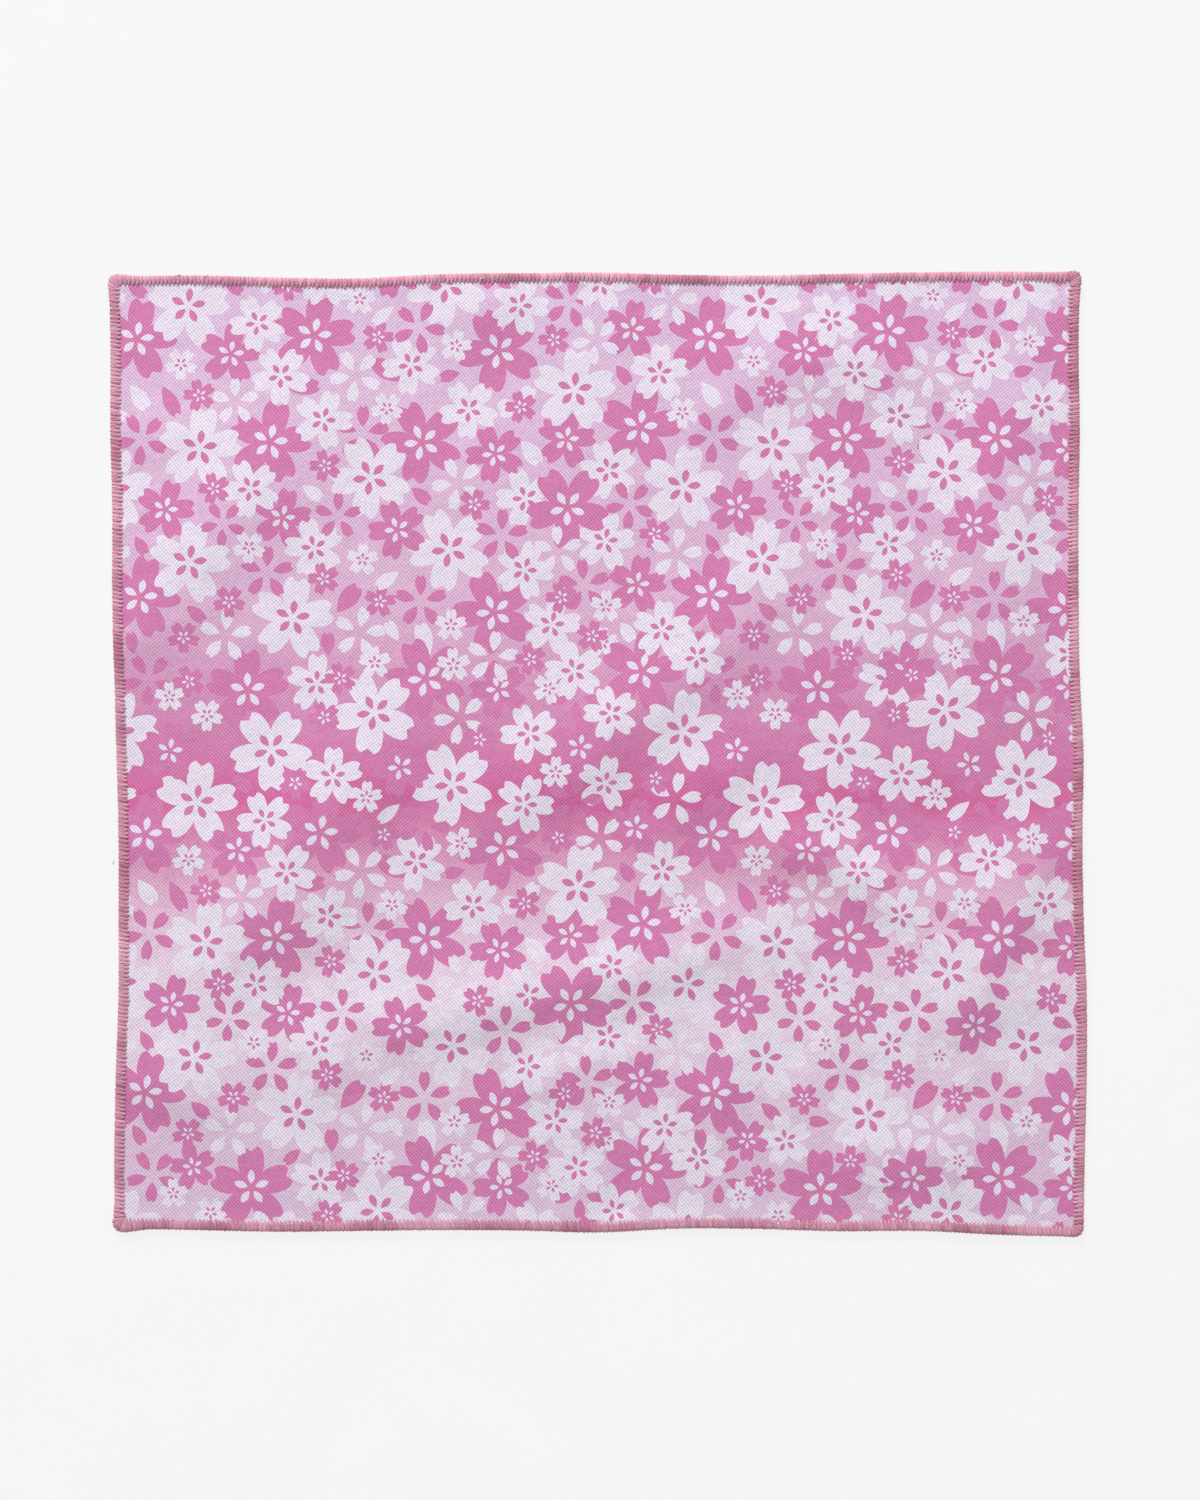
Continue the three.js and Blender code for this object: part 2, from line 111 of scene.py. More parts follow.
# The print, in draw order: form, ink, usual radius, places. A place is x, y and turn, then
# its own radius, or its length and width for a single petal. Last may come the copies of the
# repeat that have it: 1 top left, 2 top right, 3 bottom left, 4 bottom right.
PRINT = [
    ("small", "white", 4.3, [
        (1.2, 28.6, 16, 4.2),
    ]),
    ("spray", "pink", 7.0, [
        (-5.5, 15.1, 52),
    ]),
    ("single", "white", 6.2, [
        (-45.0, 29.6, 108, 8.8, 4.4), (-18.7, 92.6, 55, 6.2, 3.9), (-23.5, 89.6, 200, 5.2, 4.9),
    ]),
    ("single", "pink", 6.2, [
        (-76.4, 94.9, 5, 8.8, 4.2), (-54.6, 99.1, 145, 9.4, 4.7),
    ]),
    ("single", "white", 6.2, [
        (-70.5, 28.2, 92, 6.2, 3.6, "2"), (-69.6, 29.3, 92, 6.2, 3.6, "4"),
    ]),
    ("large", "pink", 10.9, [
        (-119.7, 107.4, 80, 10.7), (-85.0, 80.6, 78), (-73.7, 108.3, 78), (-25.9, 104.4, 42),
        (-45.7, 80.6, 41), (10.9, 84.5, 80), (-118.7, 40.4, 78), (-27.0, 36.5, 40),
        (-44.7, 19.2, 40), (11.4, 21.2, 77), (-90.9, 16.2, 91),
    ]),
    ("medium", "pink", 7.8, [
        (-8.2, 81.4, 78),
    ]),
    ("spray", "pink", 7.0, [
        (-61.2, 82.9, 87, 7.3),
    ]),
    ("large", "white", 10.9, [
        (-106.4, 116.0, 82), (-103.3, 79.1, 82), (-39.3, 121.3, 43), (-59.0, 71.5, 44),
        (-6.1, 94.2, 85), (-105.9, 49.4, 80), (-38.6, 52.8, 43), (-126.0, 68.4, 79),
        (-79.3, 35.0, 82), (-58.0, 10.5, 44), (-84.8, 0.9, 55), (-124.8, 5.4, 80),
    ]),
    ("medium", "pink", 7.8, [
        (-95.3, 103.5, 80, 8.1), (-112.2, 63.1, 74), (-81.8, 61.0, 76), (-52.1, 57.9, 39),
        (8.8, 109.9, 80), (-26.8, 77.6, 41), (10.1, 43.7, 78), (-25.8, 16.5, 38),
        (-52.9, 125.7, 40), (-111.1, 0.5, 80), (-4.7, 1.5, 78),
    ]),
    ("spray", "pink", 7.0, [
        (-7.5, 117.1, 77),
    ]),
    ("medium", "white", 7.8, [
        (-88.3, 111.5, 43, 7.5), (-82.3, 97.9, 53), (-71.3, 86.4, 70), (-90.1, 68.4, 42),
        (-73.7, 53.2, 32), (-48.5, 100.7, 45), (-33.6, 89.2, 50), (-20.3, 116.1, 69),
        (0.8, 121.7, 78, 7.3), (15.9, 98.6, 86), (2.7, 73.4, 34), (1.9, 55.0, 78),
        (-19.1, 47.5, 70), (-18.9, 66.0, 36), (-12.0, 33.3, 77), (-6.3, 21.3, 33),
        (3.3, 10.3, 35, 7.3), (16.6, 32.0, 85), (-73.0, 18.1, 87), (-17.8, 5.0, 38),
        (-70.6, 123.2, 88),
    ]),
    ("large", "pink", 10.9, [
        (-7.9, 63.7, 52),
    ]),
    ("medium", "pink", 7.8, [
        (-68.3, 20.6, 80, 7.8, "2"), (-67.6, 18.8, 81, 7.8, "4"),
    ]),
    ("spray", "pink", 7.0, [
        (-118.3, 81.4, 47), (-97.2, 59.5, 50, 6.0), (-46.5, 110.5, 64), (8.3, 64.5, 48, 6.5),
        (-25.0, 56.4, 87), (-3.6, 43.4, 95), (-85.9, 46.8, 87), (-67.5, 61.4, 88, 6.2),
        (-46.0, 39.3, 90), (-116.6, 19.1, 50),
    ]),
    ("spray", "white", 7.0, [
        (-94.1, 91.1, 90, 6.2), (-62.9, 98.0, 46), (-36.3, 69.9, 42), (-0.5, 107.1, 45, 6.5),
        (-10.4, 52.5, 21, 6.5), (19.0, 117.5, 78), (-96.7, 30.4, 85, 7.0, "123"),
        (-61.9, 31.2, 78), (-27.4, 24.8, 81, 7.0, "13"), (-35.7, 9.1, 42),
    ]),
    ("small", "pink", 4.3, [
        (-103.4, 92.8, 33), (-99.5, 68.5, 34), (-95.7, 39.3, 54), (-107.5, 30.0, 54, 4.3, "123"),
        (-70.7, 74.5, 36), (-71.2, 45.2, 34), (-32.1, 64.5, 68), (-56.6, 39.3, 80),
        (-57.1, 107.9, 74), (-11.4, 107.2, 36), (-20.0, 89.8, 35), (14.8, 56.9, 36),
        (-9.5, 40.4, 36), (-66.8, 19.4, 37), (-71.0, 9.2, 40), (-17.5, 24.3, 34),
        (-1.5, 30.3, 78), (-80.5, 121.4, 59), (13.9, 123.0, 78), (-30.7, 3.4, 76),
        (-106.2, 18.5, 40, 4.3, "124"),
    ]),
    ("small", "white", 4.3, [
        (-108.2, 100.9, 52), (-90.5, 53.3, 50), (-61.1, 50.2, 87), (-61.8, 117.8, 85),
        (-36.9, 105.7, 75), (-54.8, 89.4, 50), (2.1, 38.1, 88), (-111.2, 14.6, 93, 4.0),
        (-101.5, 9.8, 54), (-38.2, 33.2, 88), (-57.9, 23.5, 94, 4.3, "13"),
        (-37.5, 22.9, 94, 4.5, "13"), (-12.8, 16.8, 68), (-12.2, 124.5, 88),
    ]),
    ("single", "pink", 6.2, [
        (-111.0, 91.3, -63, 8.8, 3.9), (-38.5, 98.0, 195, 5.5, 3.1),
        (-118.6, 53.8, -60, 5.7, 3.1), (-45.9, 66.8, -40, 6.2, 3.4), (6.5, 98.2, -55, 6.0, 3.4),
        (-64.9, 40.0, 50, 9.1, 4.7), (-104.3, 36.1, -42, 6.2, 3.4),
        (-120.8, 28.5, 97, 6.0, 3.2, "12"), (-70.1, 28.4, 92, 6.2, 3.6, "13"),
        (-94.6, 121.2, -40, 6.2, 3.4),
    ]),
    ("single", "white", 6.2, [
        (-119.1, 92.3, -55, 7.8, 4.2), (-55.8, 113.6, 220, 7.3, 3.1),
        (-74.1, 67.6, -35, 6.2, 3.4), (-17.4, 78.0, -52, 7.8, 4.4), (-54.6, 45.0, 215, 7.3, 3.4),
        (-53.3, 31.7, 120, 6.0, 3.1), (7.5, 31.5, -57, 6.0, 3.5),
    ]),
    ("small", "white", 4.3, [
        (21.9, 88.3, 54),
    ]),
    ("spray", "white", 7.0, [
        (20.2, 51.5, 80),
    ]),
    ("medium", "white", 7.8, [
        (-121.7, 24.5, 49, 7.5, "2"), (-122.2, 23.9, 46, 7.5, "4"), (-100.2, 28.7, 29, 7.0, "4"),
        (-26.0, 24.8, 75, 7.0, "2"), (-25.8, 25.0, 74, 7.0, "4"),
    ]),
    ("medium", "pink", 7.8, [
        (-109.9, 28.7, 52, 5.7, "4"), (-106.2, 21.4, 31, 6.1, "3"), (81.5, -110.4, 79, 8.2, "1"),
    ]),
    ("small", "pink", 4.3, [
        (-83.6, 24.7, 88, 4.2, "2"), (-83.5, 23.6, 90, 4.3, "4"),
    ]),
    ("small", "white", 4.3, [
        (-56.1, 25.1, 70, 4.3, "2"), (-55.7, 23.8, 70, 4.3, "4"),
    ]),
    ("single", "pink", 6.2, [
        (-119.6, 120.1, -30, 5.7, 3.4, "1"), (-1.4, -12.0, 4, 5.2, 2.9, "1"),
        (119.7, -123.6, 90, 4.4, 2.6, "1"), (119.8, 124.0, 90, 6.0, 6.0, "1"),
        (-28.6, 123.0, 90, 6.0, 5.0, "1"), (-24.4, 121.6, 149, 4.5, 2.4, "1"),
        (-38.2, 123.3, 90, 4.0, 2.6, "1"), (-120.4, 29.5, 298, 6.0, 3.2, "3"),
        (-121.7, 28.6, 97, 6.0, 3.2, "4"), (-80.3, 24.2, 222, 5.6, 2.9, "3"),
        (-91.8, 33.5, 175, 5.5, 3.0, "4"),
    ]),
]
REPEAT_X = 148.2
REPEAT_Y = 128.96
# How far a copy strays from a true repeat: terms in 1, X, Y, XX, XY, YY over 100 mm.
DRIFT = {
    (1, 0): ((-2.76, 4.88, 4.09, -2.64, -0.51, -2.34), (-0.31, 1.92, 1.46, -1.12, 0.24, -1.11)),
    (0, 1): ((1.18, -1.13, 0.95, 0.10, -0.97, 0.59), (-0.80, -0.05, -3.05, 0.53, -0.41, -2.15)),
    (1, 1): ((-0.21, 3.22, -1.76, -2.12, -0.80, -2.34), (0.03, -1.59, -3.34, 1.86, 1.12, -2.75)),
}
# The drift is held still beyond these lines, where a copy starts: left end and top end.
COPY_LEFT = (-129.5, 26.5)
COPY_TOP = (123.0, -7.0)


# Shape of the sheet, as in the CAD source but for arrays.


def ease(value):
    t = np.clip(value, 0.0, 1.0)
    return t * t * (3.0 - 2.0 * t)


def side_at(side, at):
    """A smooth curve through one column of the outline table."""
    column = np.array([row[SIDE_COLUMN[side]] for row in OUTLINE])
    last = len(OUTLINE) - 1
    first = OUTLINE[0][0]
    place = np.clip((at - first) / (OUTLINE[-1][0] - first) * last, 0, last)
    row = np.minimum(place.astype(int), last - 1)
    t = place - row
    before = column[np.maximum(row - 1, 0)]
    here = column[row]
    after_here = column[row + 1]
    beyond = column[np.minimum(row + 2, last)]
    leave = (after_here - before) / 2
    arrive = (beyond - here) / 2
    cube = 2 * here - 2 * after_here + leave + arrive
    square = 3 * after_here - 3 * here - 2 * leave - arrive
    return ((cube * t + square) * t + leave) * t + here


def plan_at(in_x, in_y):
    """Plan position of points given as insets from the left side and from the bottom."""
    across = in_x / CLOTH_WIDE
    up = in_y / CLOTH_TALL
    x = in_x - CLOTH_WIDE / 2
    y = in_y - CLOTH_TALL / 2
    return (
        across * side_at("right", y) - (1 - across) * side_at("left", y),
        up * side_at("top", x) - (1 - up) * side_at("bottom", x),
    )


def insets_of(x, y):
    """The insets of points given by their plan position."""
    in_x = x + CLOTH_WIDE / 2
    in_y = y + CLOTH_TALL / 2
    for _ in range(8):
        at_x, at_y = plan_at(in_x, in_y)
        in_x = in_x + x - at_x
        in_y = in_y + y - at_y
    return in_x, in_y


def fold_rise(x, y):
    """Height that the folds add at plan points."""
    total = np.zeros_like(x)
    for x0, y0, x1, y1, bow, rise, upper, lower in FOLDS:
        run_x, run_y = x1 - x0, y1 - y0
        length = math.hypot(run_x, run_y)
        along = ((x - x0) * run_x + (y - y0) * run_y) / length**2
        bowed = bow * 4 * along * (1 - along)
        off = ((y - y0) * run_x - (x - x0) * run_y) / length - bowed
        reach = np.where(off > 0, upper, lower)
        fade = ease(along / FOLD_FADE) * ease((1 - along) / FOLD_FADE)
        total += rise * fade * np.exp(-((off / reach) ** 2))
    return total


def lift_at(in_x, in_y):
    """How far the cloth is lifted off the surface, held level across the thread."""
    x, y = plan_at(
        np.clip(in_x, GRIP, CLOTH_WIDE - GRIP), np.clip(in_y, GRIP, CLOTH_TALL - GRIP)
    )
    return np.maximum(0.0, fold_rise(x, y) - SLACK)


def sheet_heights(in_x, in_y):
    """Top and underside of the sheet, drawn in where the thread grips it."""
    x, y = plan_at(in_x, in_y)
    raised = lift_at(in_x, in_y)
    inset = np.minimum(np.minimum(in_x, CLOTH_WIDE - in_x), np.minimum(in_y, CLOTH_TALL - in_y))
    held = 1 - ease((inset - GRIP) / EDGE_SLOPE)
    open_top = np.maximum(SHEET_THICK + fold_rise(x, y), raised + LEAST_THICK)
    held_under = raised + WRAP_LIP + CLEARANCE
    held_top = held_under + EDGE_THICK
    return (
        open_top + (held_top - open_top) * held,
        raised + (held_under - raised) * held,
    )


# Mesh helpers.


def centring():
    """How far the CAD source moved everything to put the origin under the middle."""
    reach = np.linspace(SHEET_INSET, CLOTH_WIDE - SHEET_INSET, 400)
    climb = np.linspace(SHEET_INSET, CLOTH_TALL - SHEET_INSET, 400)
    left, _ = plan_at(np.full(400, SHEET_INSET), climb)
    right, _ = plan_at(np.full(400, CLOTH_WIDE - SHEET_INSET), climb)
    _, low = plan_at(reach, np.full(400, SHEET_INSET))
    _, high = plan_at(reach, np.full(400, CLOTH_TALL - SHEET_INSET))
    corner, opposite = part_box("cloth")
    return np.array(
        [
            (corner.x + opposite.x) / 2 / MM - (left.min() + right.max()) / 2,
            (corner.y + opposite.y) / 2 / MM - (low.min() + high.max()) / 2,
            0.0,
        ]
    )


def make_mesh(name, points, faces, smooth=True):
    """An object from points in millimetres and faces of one size as an array."""
    mesh = bpy.data.meshes.new(name)
    faces = np.asarray(faces, np.int32)
    count, corners = faces.shape
    mesh.vertices.add(len(points))
    mesh.vertices.foreach_set("co", ((points + SHIFT) * MM).astype(np.float32).ravel())
    mesh.loops.add(count * corners)
    mesh.loops.foreach_set("vertex_index", faces.ravel())
    mesh.polygons.add(count)
    mesh.polygons.foreach_set("loop_start", np.arange(0, count * corners, corners, dtype=np.int32))
    mesh.polygons.foreach_set("use_smooth", np.full(count, smooth))
    mesh.update(calc_edges=True)
    mesh.validate()
    thing = bpy.data.objects.new(name, mesh)
    bpy.context.scene.collection.objects.link(thing)
    return thing


def float_attribute(thing, name, values, domain):
    layer = thing.data.attributes.new(name, "FLOAT", domain)
    layer.data.foreach_set("value", np.asarray(values, np.float32))


def tubes(paths, radii, sides, guide):
    """Round threads along paths (threads, points, 3). guide is never along a path."""
    threads, count, _ = paths.shape
    tangent = np.gradient(paths, axis=1)
    tangent /= np.linalg.norm(tangent, axis=2, keepdims=True) + 1e-9
    guide = np.broadcast_to(guide, paths.shape)
    first = guide - (guide * tangent).sum(2, keepdims=True) * tangent
    first /= np.linalg.norm(first, axis=2, keepdims=True) + 1e-9
    second = np.cross(tangent, first)
    turn = np.arange(sides) * 2 * math.pi / sides
    ring = (
        first[:, :, None] * np.cos(turn)[None, None, :, None]
        + second[:, :, None] * np.sin(turn)[None, None, :, None]
    )
    points = paths[:, :, None] + ring * radii[:, :, None, None]
    at = np.arange(threads * count * sides).reshape(threads, count, sides)
    beside = np.roll(at, -1, axis=2)
    quads = np.stack([at[:, :-1], beside[:, :-1], beside[:, 1:], at[:, 1:]], axis=-1)
    return points.reshape(-1, 3), quads.reshape(-1, 4)


def joined(parts):
    """One set of points and faces from several."""
    points, faces, start = [], [], 0
    for part_points, part_faces in parts:
        points.append(part_points)
        faces.append(part_faces + start)
        start += len(part_points)
    return np.concatenate(points), np.concatenate(faces)


# The print.


def smooth_side(rows, steps):
    """Points on a smooth curve through rows, steps of them to each gap."""
    rows = np.array(rows, float)
    ends = np.vstack([2 * rows[0] - rows[1], rows, 2 * rows[-1] - rows[-2]])
    out = []
    for k in range(1, len(ends) - 2):
        before, here, after_here, beyond = ends[k - 1 : k + 3]
        for step in range(steps):
            t = step / steps
            out.append(
                here
                + t * (after_here - before) / 2
                + t * t * (before - 2.5 * here + 2 * after_here - beyond / 2)
                + t**3 * (1.5 * (here - after_here) + (beyond - before) / 2)
            )
    out.append(rows[-1])
    return np.array(out)


# Half outlines from the middle outward, with the notch in the tip, in shares of the radius.
PETAL_SIDE = [
    (0.02, 0.0),
    (0.36, 0.262),
    (0.58, 0.312),
    (0.77, 0.308),
    (0.91, 0.258),
    (0.985, 0.158),
]
PETAL_NOTCH = (0.867, 0.0)
LEAF_SIDE = [(0.0, 0.0), (0.2, 0.27), (0.45, 0.48), (0.66, 0.5), (0.86, 0.40), (0.985, 0.23)]
LEAF_NOTCH = (0.9, 0.0)
CLEFT = (0.368, 0.267)
PETALS = 5
EYE_FROM, EYE_TO, EYE_WIDE = 0.09, 0.43, 0.175
SPRAY_FROM, SPRAY_WIDE = 0.22, 0.42


def mirrored(side, notch):
    """A whole outline, anticlockwise, from its lower half."""
    lower = side * (1, -1)
    return np.vstack([lower, [notch], side[::-1]])


def placed(shape, x, y, turn):
    cos, sin = math.cos(turn), math.sin(turn)
    return shape @ np.array([[cos, sin], [-sin, cos]]) + (x, y)


def petal_turns(turn):
    return [turn + 2 * math.pi * k / PETALS for k in range(PETALS)]


def flower(x, y, turn, radius):
    """The outline of a whole five-petalled flower, and its five inner petals."""
    steps = 2 if radius > 6 else 1
    side = smooth_side(PETAL_SIDE, steps)
    side = side[side[:, 0] > CLEFT[0]]
    side = np.vstack([[CLEFT], side])
    petal = mirrored(side, PETAL_NOTCH)[:-1]
    outline = np.vstack([placed(petal * radius, x, y, t) for t in petal_turns(turn)])
    count = 6 if radius > 6 else 3
    t = np.arange(count + 1) / count
    along = EYE_FROM + (EYE_TO - EYE_FROM) * t
    half = EYE_WIDE / 2 * np.clip(np.sin(math.pi * t**1.15), 0, 1) ** 0.75
    eye = np.vstack([np.c_[along, -half][:-1], np.c_[along, half][:0:-1]])
    eyes = [placed(eye * radius, x, y, t) for t in petal_turns(turn)]
    return [outline], eyes


def spray(x, y, turn, radius):
    """Five separate petals round a point."""
    leaf = mirrored(smooth_side(LEAF_SIDE, 2), LEAF_NOTCH)[:-1]
    leaf = leaf * (radius * (1 - SPRAY_FROM), radius * SPRAY_WIDE) + (radius * SPRAY_FROM, 0)
    return [placed(leaf, x, y, t) for t in petal_turns(turn)], []


def single(x, y, turn, length, wide):
    """One fallen petal, centred on a point."""
    leaf = mirrored(smooth_side(LEAF_SIDE, 2), LEAF_NOTCH)[:-1]
    leaf = (leaf - (0.5, 0)) * (length, wide)
    return [placed(leaf, x, y, turn)], []


def copies_of(x, y, only):
    """Every place that the repeat puts one motif."""
    for i in (-1, 0, 1):
        for j in (-1, 0, 1):
            if only and (min(i, j) < 0 or str(1 + i + 2 * j) not in only):
                continue
            at_x, at_y = x + i * REPEAT_X, y - j * REPEAT_Y
            copy = (max(i, 0), max(j, 0))
            if copy in DRIFT:
                u = max(at_x, COPY_LEFT[copy[0]]) / 100
                v = min(at_y, COPY_TOP[copy[1]]) / 100
                terms = (1, u, v, u * u, u * v, v * v)
                at_x += sum(c * t for c, t in zip(DRIFT[copy][0], terms))
                at_y += sum(c * t for c, t in zip(DRIFT[copy][1], terms))
            yield at_x, at_y


OTHER_INK = {"pink": "white", "white": "pink"}


def print_shapes():
    """The print as (outline, ink) in draw order, left out where it is clear of the cloth."""
    shapes = []
    reach_x, reach_y = CLOTH_WIDE / 2 + 12, CLOTH_TALL / 2 + 12
    for form, ink, usual, places in PRINT:
        for place in places:
            only = place[-1] if isinstance(place[-1], str) else ""
            x, y, turn, *sizes = place[:-1] if only else place
            turn = math.radians(turn)
            for at_x, at_y in copies_of(x, y, only):
                if abs(at_x) > reach_x or abs(at_y) > reach_y:
                    continue
                if form == "single":
                    under, over = single(at_x, at_y, turn, *sizes)
                elif form == "spray":
                    under, over = spray(at_x, at_y, turn, sizes[0] if sizes else usual)
                else:
                    under, over = flower(at_x, at_y, turn, sizes[0] if sizes else usual)
                shapes += [(outline, ink) for outline in under]
                shapes += [(outline, OTHER_INK[ink]) for outline in over]
    return shapes


def rounded(in_x, in_y):
    """Insets with the square corners drawn in, as the thread draws them in."""
    near_x = np.clip(in_x, ROUND, CLOTH_WIDE - ROUND)
    near_y = np.clip(in_y, ROUND, CLOTH_TALL - ROUND)
    off_x, off_y = in_x - near_x, in_y - near_y
    far = np.maximum(np.abs(off_x), np.abs(off_y)) / (np.hypot(off_x, off_y) + 1e-9)
    far = np.where((off_x != 0) & (off_y != 0), far, 1.0)
    return near_x + off_x * far, near_y + off_y * far


def rim_points(inset, spacing):
    """Insets of points round the sheet, anticlockwise from the bottom left."""
    wide, tall = CLOTH_WIDE - 2 * inset, CLOTH_TALL - 2 * inset
    across = inset + wide * np.arange(round(wide / spacing)) / round(wide / spacing)
    climb = inset + tall * np.arange(round(tall / spacing)) / round(tall / spacing)
    far_x, far_y = CLOTH_WIDE - inset, CLOTH_TALL - inset
    rim = np.vstack(
        [
            np.c_[across, np.full(len(across), inset)],
            np.c_[np.full(len(climb), far_x), climb],
            np.c_[CLOTH_WIDE - across, np.full(len(across), far_y)],
            np.c_[np.full(len(climb), inset), CLOTH_TALL - climb],
        ]
    )
    return np.c_[rounded(rim[:, 0], rim[:, 1])]


ROUND = 3.0
FIELD_PITCH = 3.0
RIM_PITCH = 2.0
RIM_INSETS = (1.6, 2.52, 3.3, 4.1, 5.0, 6.3)


def make_face():
    """The printed top of the sheet, cut along every edge of the print."""
    rim = rim_points(SHEET_INSET, RIM_PITCH)
    rim = np.c_[plan_at(rim[:, 0], rim[:, 1])]
    shapes = print_shapes()
    points = [rim] + [outline for outline, _ in shapes]
    faces, start = [], 0
    for ring in points:
        faces.append(list(range(start, start + len(ring))))
        start += len(ring)
    for inset in RIM_INSETS:
        loose = rim_points(inset, RIM_PITCH)
        points.append(np.c_[plan_at(loose[:, 0], loose[:, 1])])
    start = RIM_INSETS[-1] + FIELD_PITCH / 2
    grid = np.meshgrid(
        np.arange(start, CLOTH_WIDE - start, FIELD_PITCH),
        np.arange(start, CLOTH_TALL - start, FIELD_PITCH),
    )
    points.append(np.c_[plan_at(grid[0].ravel(), grid[1].ravel())])
    flat = np.vstack(points)
    made = delaunay_2d_cdt([tuple(p) for p in flat], [], faces, 1, 1e-4, True)
    plan = np.array([tuple(p) for p in made[0]])
    inks = ["ground"] + [ink for _, ink in shapes]
    kept, ink_of = [], []
    for corners, sources in zip(made[2], made[5]):
        if 0 in sources:
            kept.append(corners)
            ink_of.append(inks[max(sources)])
    kept = np.array(kept)
    used, kept = np.unique(kept, return_inverse=True)
    plan = plan[used]
    kept = kept.reshape(-1, 3)
    in_x, in_y = insets_of(plan[:, 0], plan[:, 1])
    top, _ = sheet_heights(in_x, in_y)
    face = make_mesh("cloth_face", np.c_[plan, top], kept)
    for ink in ("pink", "white"):
        float_attribute(face, ink + "_ink", [one == ink for one in ink_of], "FACE")
    step = 0.2
    slopes = []
    for dx, dy in ((step, 0), (0, step)):
        ahead, _ = sheet_heights(in_x + dx, in_y + dy)
        behind, _ = sheet_heights(in_x - dx, in_y - dy)
        slopes.append((ahead - behind) / (2 * step))
    normals = np.c_[-slopes[0], -slopes[1], np.ones(len(plan))]
    normals /= np.linalg.norm(normals, axis=1, keepdims=True)
    face.data.normals_split_custom_set_from_vertices(normals.tolist())
    planar_uv(face)
    return face


def planar_uv(thing):
    """A flat layout over the whole sheet, for baking."""
    mesh = thing.data
    layer = mesh.uv_layers.new(name="OFBake")
    spots = np.zeros(len(mesh.vertices) * 3, np.float32)
    mesh.vertices.foreach_get("co", spots)
    spots = spots.reshape(-1, 3)[:, :2]
    spots = (spots - spots.min(0)) / (spots.max(0) - spots.min(0))
    at = np.zeros(len(mesh.loops), np.int32)
    mesh.loops.foreach_get("vertex_index", at)
    layer.data.foreach_set("uv", (0.002 + 0.996 * spots[at]).ravel())


PILE_PITCH = 1.05
PILE_DEEP = 0.42
# Tufts of pile that show through the thread: x, y, length, turn.
TUFTS = [
    (-30.0, 123.0, 1.8, 18),
    (47.1, -122.7, 2.4, -62),
    (-108.7, 124.0, 0.9, 10),
    (-101.7, 123.8, 0.8, 20),
    (-126.3, 115.2, 0.9, 0),
    (-126.3, 113.1, 0.9, 0),
    (-125.6, -28.3, 1.2, 80),
]
TUFT_RADIUS = 0.17
TUFT_FOOT = 1.95


def make_tufts():
    """The tufts as bowed threads, points and faces."""
    x, y, length, turn = np.array(TUFTS).T[:, :, None]
    share = np.linspace(-0.5, 0.5, 5)
    x = x + length * share * np.cos(np.radians(turn))
    y = y + length * share * np.sin(np.radians(turn))
    height = TUFT_FOOT + 0.32 * np.cos(math.pi * share) + lift_at(*insets_of(x, y))
    paths = np.stack([x, y, height], axis=-1)
    radii = np.broadcast_to(TUFT_RADIUS * (1 - 1.2 * share**2), paths.shape[:2])
    return tubes(paths, radii, 5, np.array([0.0, 0.0, 1.0]))


def make_back():
    """The white looped reverse."""
    wide = round((CLOTH_WIDE - 2 * SHEET_INSET) / PILE_PITCH)
    tall = round((CLOTH_TALL - 2 * SHEET_INSET) / PILE_PITCH)
    grid = np.meshgrid(np.arange(wide + 1.0), np.arange(tall + 1.0))
    stir = rng.uniform(-0.3, 0.3, (2,) + grid[0].shape)
    stir[:, 0, :] = stir[:, -1, :] = 0
    stir[:, :, 0] = stir[:, :, -1] = 0
    in_x = SHEET_INSET + (grid[0] + stir[0]) * (CLOTH_WIDE - 2 * SHEET_INSET) / wide
    in_y = SHEET_INSET + (grid[1] + stir[1]) * (CLOTH_TALL - 2 * SHEET_INSET) / tall
    in_x, in_y = rounded(in_x, in_y)
    x, y = plan_at(in_x, in_y)
    _, under = sheet_heights(in_x, in_y)
    inset = np.minimum(np.minimum(in_x, CLOTH_WIDE - in_x), np.minimum(in_y, CLOTH_TALL - in_y))
    nap = PILE_DEEP * ease((inset - GRIP) / EDGE_SLOPE)
    under = under + nap * rng.uniform(0, 1, under.shape)
    points = np.stack([x, y, under], axis=-1).reshape(-1, 3)
    at = np.arange(points.shape[0]).reshape(tall + 1, wide + 1)
    quads = np.stack([at[:-1, :-1], at[1:, :-1], at[1:, 1:], at[:-1, 1:]], axis=-1)
    return make_mesh("cloth_back", *joined([(points, quads.reshape(-1, 4)), make_tufts()]))


# The overlocked edge.

STITCH = 1.06
# Threads turn round a corner about a point this far in from both sides.
TURN = 3.0
QUARTER = TURN * math.pi / 2
# One thread from the needle, over the edge and under: inset, height, share of its spread.
WRAP_PATH = [
    (2.85, 1.8, 0.0),
    (2.6, 1.89, 0.4),
    (2.3, 1.94, 0.56),
    (1.95, 1.97, 0.68),
    (1.6, 1.99, 0.95),
    (1.15, 2.0, 1.0),
    (0.6, 1.93, 1.0),
    (0.28, 1.64, 1.0),
    (0.18, 1.2, 1.0),
    (0.3, 0.62, 1.0),
    (0.8, 0.27, 1.0),
    (1.5, 0.25, 1.0),
    (2.2, 0.27, 0.8),
]
# Section of what the threads wrap, inset and height.
WRAP_CORE = [
    (2.1, 0.2),
    (0.6, 0.2),
    (0.26, 0.75),
    (0.24, 1.5),
    (0.6, 1.86),
    (1.15, 1.91),
    (1.7, 1.91),
    (2.15, 1.86),
    (2.15, 1.78),
    (0.46, 1.78),
    (0.46, 0.4),
    (2.1, 0.4),
]
